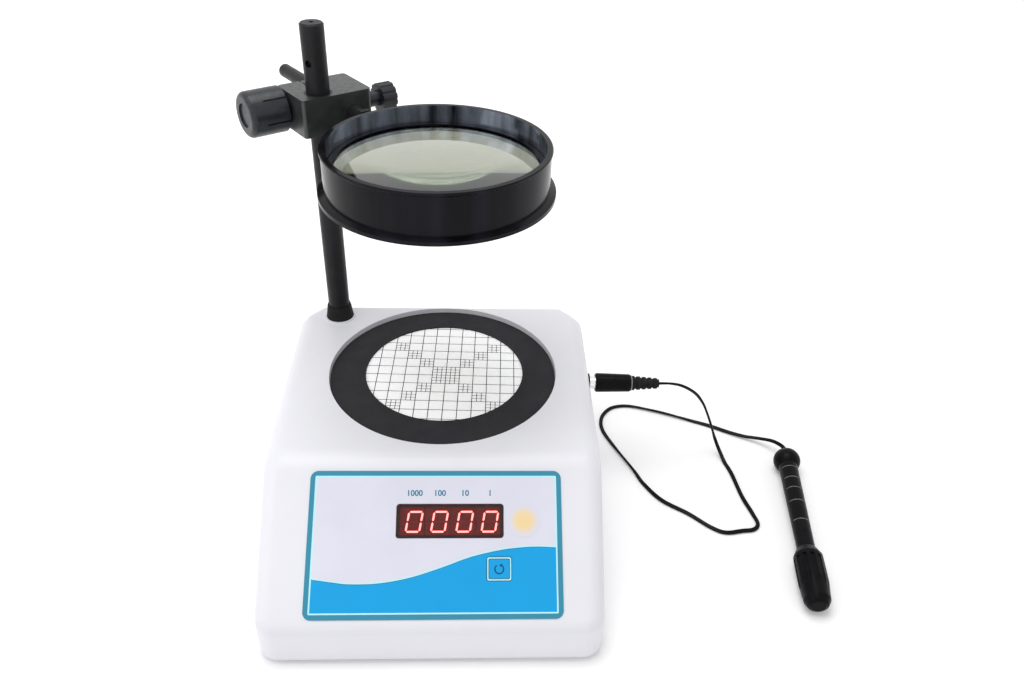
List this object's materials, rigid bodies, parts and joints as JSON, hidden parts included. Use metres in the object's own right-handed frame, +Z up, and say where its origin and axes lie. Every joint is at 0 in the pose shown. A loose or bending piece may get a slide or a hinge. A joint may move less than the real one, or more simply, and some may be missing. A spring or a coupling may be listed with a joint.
{
  "type": "colony counter",
  "caption": "Desk colony counter: moulded white console with a lit gridded plate, sloping display panel, magnifier on a swinging pole arm, and a marking pen on a lead.",
  "frame": {"origin": "on the bench, under the middle of the console's footprint", "axes": "+Z up, -Y towards the user, +X to the user's right"},
  "size_m": [0.4241, 0.3395, 0.323],
  "materials": {
    "case_white": "smooth moulded ABS, semi-gloss",
    "satin_black_metal": "satin black powder coat",
    "black_plastic": "fine satin black moulding",
    "gloss_black_plastic": "glossy black moulding",
    "mat_black": "matt charcoal sheet",
    "opal": "opal acrylic with a printed counting grid",
    "panel_print": "printed polyester sheet, teal border, lilac field, blue wave",
    "red_filter": "tinted red acrylic",
    "digit_red": "seven-segment modules, lit",
    "board_green": "circuit board",
    "board_white": "white lamp board",
    "led": "light-emitting chips",
    "key_blue": "printed key top",
    "lamp_yellow": "diffuse yellow lens",
    "steel": "plated steel",
    "brass_liner": "turned brass",
    "copper_coil": "taped winding",
    "core_steel": "varnished laminations",
    "rubber_black": "black rubber",
    "bowl_white": "white reflector",
    "rocker_red": "red rocker",
    "lens_glass": "clear magnifier glass",
    "nickel": "nickel-plated contact",
    "cord_pvc": "black twin PVC lead"
  },
  "bodies": {
    "base": {"housing": "case_white", "base_plate": "steel", "rubber_feet": "rubber_black", "base_screws": "steel", "well_mat": "mat_black", "grid_plate": "opal", "lamp_bowl": "bowl_white", "lamp_board": "board_white", "lamp_leds": "led", "panel_sheet": "panel_print", "display_window": "red_filter", "display_digits": "digit_red", "display_board": "board_green", "board_posts": "brass_liner", "key_switch": "black_plastic", "status_lamp": "lamp_yellow", "control_board": "board_green", "control_chips": "black_plastic", "buzzer": "black_plastic", "transformer_core": "core_steel", "transformer_coil": "copper_coil", "power_inlet": "black_plastic", "inlet_screws": "steel", "switch_body": "black_plastic", "fuse_holder": "black_plastic", "fuse": "nickel", "probe_jack": "black_plastic", "jack_nut": "black_plastic", "pole": "satin_black_metal", "pole_socket": "steel", "socket_screws": "steel", "pole_collar": "rubber_black"},
    "reset": {"reset_key": "key_blue"},
    "rocker": {"power_rocker": "rocker_red"},
    "fuse_lid": {"fuse_cap": "black_plastic"},
    "carriage": {"pole_liner": "brass_liner"},
    "block": {"arm_block": "satin_black_metal"},
    "pole_grip": {"pole_knob": "black_plastic", "pole_clamp_screw": "steel"},
    "rod_grip": {"rod_knob": "black_plastic", "rod_clamp_screw": "steel"},
    "roller": {"rod_liner": "black_plastic"},
    "lens_arm": {"arm_rod": "satin_black_metal", "rod_nut": "satin_black_metal", "lens_drum": "gloss_black_plastic", "lens": "lens_glass", "lens_retainer": "gloss_black_plastic"},
    "probe": {"probe_plug": "black_plastic", "plug_pin": "nickel", "plug_relief": "rubber_black", "probe_cord": "cord_pvc", "pen_head": "black_plastic", "pen_barrel": "black_plastic", "pen_switch": "black_plastic", "pen_spring": "steel"},
    "tip": {"pen_tip": "black_plastic"},
    "cap": {"pen_cap": "black_plastic"}
  },
  "joints": [
    {"name": "height_slide", "type": "slide", "parent": "base", "child": "carriage", "axis": [0, 0, 1], "range_m": [-0.06, 0.04]},
    {"name": "arm_swing", "type": "hinge", "parent": "carriage", "child": "block", "pos_m": [-0.081, 0.116, 0.251], "axis": [0, 0, 1], "continuous": true},
    {"name": "pole_knob_turn", "type": "hinge", "parent": "block", "child": "pole_grip", "pos_m": [-0.11646, 0.11405, 0.264], "axis": [-0.8141, -0.5807, 0], "range_deg": [0, 360]},
    {"name": "rod_knob_turn", "type": "hinge", "parent": "block", "child": "rod_grip", "pos_m": [-0.04262, 0.14829, 0.2635], "axis": [0.8141, 0.5807, 0], "range_deg": [0, 360]},
    {"name": "arm_roll", "type": "hinge", "parent": "block", "child": "roller", "pos_m": [-0.06553, 0.12703, 0.2635], "axis": [0.5807, -0.8141, 0], "continuous": true},
    {"name": "arm_reach", "type": "slide", "parent": "roller", "child": "lens_arm", "axis": [0.5807, -0.8141, 0], "range_m": [-0.003, 0.065]},
    {"name": "reset_press", "type": "slide", "parent": "base", "child": "reset", "axis": [0, 0.6157, -0.788], "range_m": [0, 0.0006], "stiffness_N_per_m": 300, "springref_m": -0.002},
    {"name": "rocker_tilt", "type": "hinge", "parent": "base", "child": "rocker", "pos_m": [-0.008, 0.132, 0.038], "axis": [-1, 0, 0], "range_deg": [0, 14]},
    {"name": "fuse_cap_turn", "type": "hinge", "parent": "base", "child": "fuse_lid", "pos_m": [-0.036, 0.132, 0.038], "axis": [0, 1, 0], "range_deg": [0, 90]},
    {"name": "plug_pull", "type": "slide", "parent": "base", "child": "probe", "axis": [0.9998, -0.0174, 0], "range_m": [0, 0.02]},
    {"name": "tip_press", "type": "slide", "parent": "probe", "child": "tip", "axis": [0.1461, 0.9893, 0], "range_m": [0, 0.0012], "stiffness_N_per_m": 300, "springref_m": -0.002},
    {"name": "cap_pull", "type": "slide", "parent": "probe", "child": "cap", "axis": [-0.1461, -0.9893, 0], "range_m": [0, 0.045]}
  ]
}
